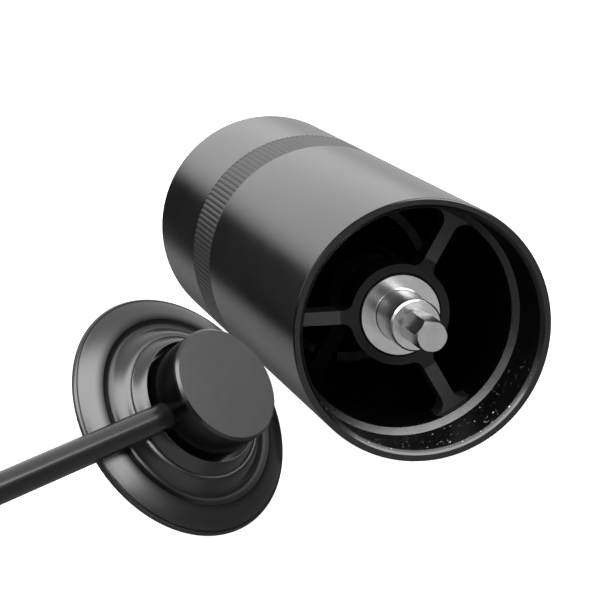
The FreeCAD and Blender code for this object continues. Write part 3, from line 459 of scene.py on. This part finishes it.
def floor_paper():
    """Seamless white studio paper, evenly lit."""
    shader = Shader("floor_paper")
    place = shader.add("ShaderNodeTexCoord")
    fibre = shader.noise(place.outputs["Object"], 900.0, detail=2.0)
    color = shader.grey(shader.ranged(fibre, 0.0, 1.0), (0.20, 0.22))
    shader.set(Specular_IOR_Level=0.0, Roughness=0.95)
    shader.set(Emission_Color=(1.0, 1.0, 1.0, 1.0), Emission_Strength=PAPER_EMISSION)
    return shader.finish(color, normal=shader.bump(fibre, 0.02, strength=0.2))


# ---------------------------------------------------------------- which node takes which
def paint(material, *names):
    """Give the material to each named node."""
    for name in names:
        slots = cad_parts[name].material_slots
        if not slots:
            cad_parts[name].data.materials.append(material)
        for slot in slots:
            slot.material = material


def paint_black_parts():
    """The coated parts: tube, cup, lid, hub, rod, spiders, liner and housing."""
    paint(body_coating(), "outer_tube", "catch_cup")
    paint(lid_coating(), "lid", "hub_bezel")
    paint(hub_coating(), "crank_hub")
    paint(arm_coating(), "crank_arm")
    # painted shade: the liner, housing and lower spider are near black and hardly reflect, so the deep
    # inside of the barrel stays dark; the liner's top face takes a painted highlight
    liner = turned_coating(
        "coat_liner", BARREL_FRAME, tones=(0.0008, 0.002), gloss=(0.24, 0.30),
        depth=0.003, sheen=0.04, part=LEDGE_HIGHLIGHT, painted_light_sheen=0.9,
    )
    paint(liner, "hopper_liner", "burr_housing", "lower_spider")
    # painted shade: the spider's ring about the collar reflects less than its arms
    spider = turned_coating(
        "coat_spider", BARREL_FRAME, tones=(0.006, 0.010), gloss=(0.42, 0.50),
        depth=0.002, sheen=0.6, part=RING_SHADE, painted_light_sheen=0.16,
    )
    paint(spider, "upper_spider")
    dial = turned_coating(
        "coat_dial", BARREL_FRAME, tones=(0.05, 0.07), gloss=(0.45, 0.55), depth=0.004, sheen=0.5,
    )
    paint(dial, "adjust_dial")


def paint_bare_metal():
    """The steel parts, and the brass bushes in the knob."""
    collar = turned_steel(
        "steel_collar", BARREL_FRAME, tones=(0.50, 0.57), gloss=(0.17, 0.23), depth=0.003, streak=0.6,
    )
    paint(collar, "shaft_collar")
    steel = turned_steel("steel_turned", BARREL_FRAME, tones=(0.42, 0.50), gloss=(0.20, 0.28), depth=0.003)
    paint(steel, "drive_shaft", "click_plate")
    crank = turned_steel("steel_crank", CRANK_FRAME, tones=(0.50, 0.58), gloss=(0.26, 0.36), depth=0.003)
    paint(crank, "drive_socket", "arm_lock_pin", "lid_washer", "lid_clamp_nut")
    paint(crank, "knob_pin", "knob_washer", "knob_clip")
    # painted shade: the burrs are near black so that the deep inside of the barrel stays dark
    burr = turned_steel("steel_ground_painted_shade", BARREL_FRAME, tones=(0.03, 0.05), gloss=(0.34, 0.48), depth=0.006)
    paint(burr, "outer_burr", "inner_burr")
    polished = turned_steel(
        "steel_polished", BARREL_FRAME, tones=(0.62, 0.70), gloss=(0.10, 0.16), depth=0.001,
    )
    paint(polished, "upper_bearing_outer_race", "upper_bearing_inner_race", "upper_bearing_shields")
    paint(polished, "upper_bearing_balls", "lower_bearing_balls", "click_balls")
    # painted shade: the lower bearing and the burr retainer are near black so that the deep inside of the
    # barrel stays dark
    shade_steel = turned_steel("steel_painted_shade", BARREL_FRAME, tones=(0.02, 0.035), gloss=(0.30, 0.40), depth=0.002)
    paint(shade_steel, "lower_bearing_outer_race", "lower_bearing_inner_race")
    paint(shade_steel, "lower_bearing_shields", "lower_bearing_circlip", "burr_retainer")
    spring = turned_steel("steel_spring", BARREL_FRAME, tones=(0.40, 0.48), gloss=(0.20, 0.30), depth=0.002)
    paint(spring, "upper_bearing_circlip", "burr_spring")
    paint(spring, "stud_clip", "click_springs", "burr_retainer_screws")
    paint(brass_bush(), "knob_bushes")


def paint_moulded_parts():
    """The rubber seal and pad, and the plastic knob."""
    rubber = moulded(
        "rubber_black", BARREL_FRAME, tones=(0.012, 0.018), gloss=(0.65, 0.80), grain_depth=0.02,
    )
    paint(rubber, "cup_seal", "base_pad")
    knob = moulded(
        "plastic_knob", CRANK_FRAME, tones=(0.012, 0.017), gloss=(0.42, 0.52), grain_depth=0.012,
    )
    paint(knob, "knob", "knob_cap")


# ---------------------------------------------------------------- the spring behind the burr
def add_burr_spring():
    """Copy of the spring behind the inner burr, attached to the shaft's body in place of the solid spring.
    """
    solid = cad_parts["burr_spring"]
    spring = bpy.data.objects.new("burr_spring_coil", solid.data.copy())
    bpy.context.scene.collection.objects.link(spring)
    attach(spring, "shaft")
    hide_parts("burr_spring")
    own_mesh(spring)


# ---------------------------------------------------------------- studio
def add_floor():
    """Paper sweep turned about the vertical; it is seen by the camera only."""
    corners = []
    faces = []
    for radius, height in PAPER_PROFILE:
        for side in range(PAPER_SIDES):
            turn = 2.0 * math.pi * side / PAPER_SIDES
            corners.append((radius * math.cos(turn), radius * math.sin(turn), height))
    for row in range(len(PAPER_PROFILE) - 1):
        for side in range(PAPER_SIDES):
            after = (side + 1) % PAPER_SIDES
            low = row * PAPER_SIDES
            high = low + PAPER_SIDES
            faces.append((low + side, high + side, high + after, low + after))
    mesh = bpy.data.meshes.new("floor")
    mesh.from_pydata(corners, [], faces)
    floor = bpy.data.objects.new("floor", mesh)
    bpy.context.scene.collection.objects.link(floor)
    floor.data.materials.append(floor_paper())
    floor.visible_diffuse = False
    floor.visible_glossy = False
    floor.visible_shadow = False


def add_patch(nodes, light, azimuth, elevation, middle, half, soft, low, high, rise, radiance):
    """The light with one soft-edged area of its own radiance."""
    offset = nodes.math("WRAP", nodes.math("SUBTRACT", azimuth, middle), 180.0, -180.0)
    across = nodes.within(offset, -half, half, soft)
    along = nodes.within(elevation, low, high, rise)
    return nodes.toward(light, radiance, nodes.product(across, along))


def add_world():
    """Soft studio light as smooth areas of radiance over all directions."""
    world = bpy.data.worlds.new("studio")
    bpy.context.scene.world = world
    world.use_nodes = True
    nodes = Nodes(world.node_tree)
    place = nodes.add("ShaderNodeTexCoord")
    x, y, z = nodes.split(place.outputs["Generated"])
    azimuth = nodes.math("DEGREES", nodes.math("ARCTAN2", x, y))
    elevation = nodes.math("DEGREES", nodes.math("ARCSINE", z))
    light = nodes.toward(FLOOR_LIGHT, WALL_LIGHT, nodes.smooth(elevation, *WALL_RISE))
    for patch in PATCHES:
        light = add_patch(nodes, light, azimuth, elevation, *patch)
    above = nodes.math("MAXIMUM", z, LOWEST_SINE)
    key_x = nodes.within(nodes.math("DIVIDE", x, above), *KEY_X, KEY_SOFT)
    key_y = nodes.within(nodes.math("DIVIDE", y, above), *KEY_Y, KEY_SOFT)
    key = nodes.product(key_x, key_y, nodes.smooth(z, *KEY_RISE))
    light = nodes.toward(light, KEY_LIGHT, key)
    light = add_patch(nodes, light, azimuth, elevation, *PERSON)
    background = world.node_tree.nodes["Background"]
    background.inputs["Color"].default_value = (1.0, 1.0, 1.0, 1.0)
    nodes.join(light, background.inputs["Strength"])


def add_camera():
    """Camera at the viewing angle of the picture."""
    data = bpy.data.cameras.new("camera")
    data.lens = CAMERA_LENS
    data.sensor_width = SENSOR_WIDTH
    data.clip_start, data.clip_end = CLIP_RANGE
    camera = bpy.data.objects.new("camera", data)
    bpy.context.scene.collection.objects.link(camera)
    back = -CAMERA_FORWARD
    up = (CAMERA_UP - back * CAMERA_UP.dot(back)).normalized()
    right = up.cross(back)
    placed = Matrix((right, up, back)).transposed().to_4x4()
    placed.translation = CAMERA_PLACE
    camera.matrix_world = placed
    bpy.context.scene.camera = camera


paint_black_parts()
paint_bare_metal()
paint_moulded_parts()
add_burr_spring()
add_floor()
add_world()
add_camera()
bpy.context.scene.view_settings.view_transform = "Standard"
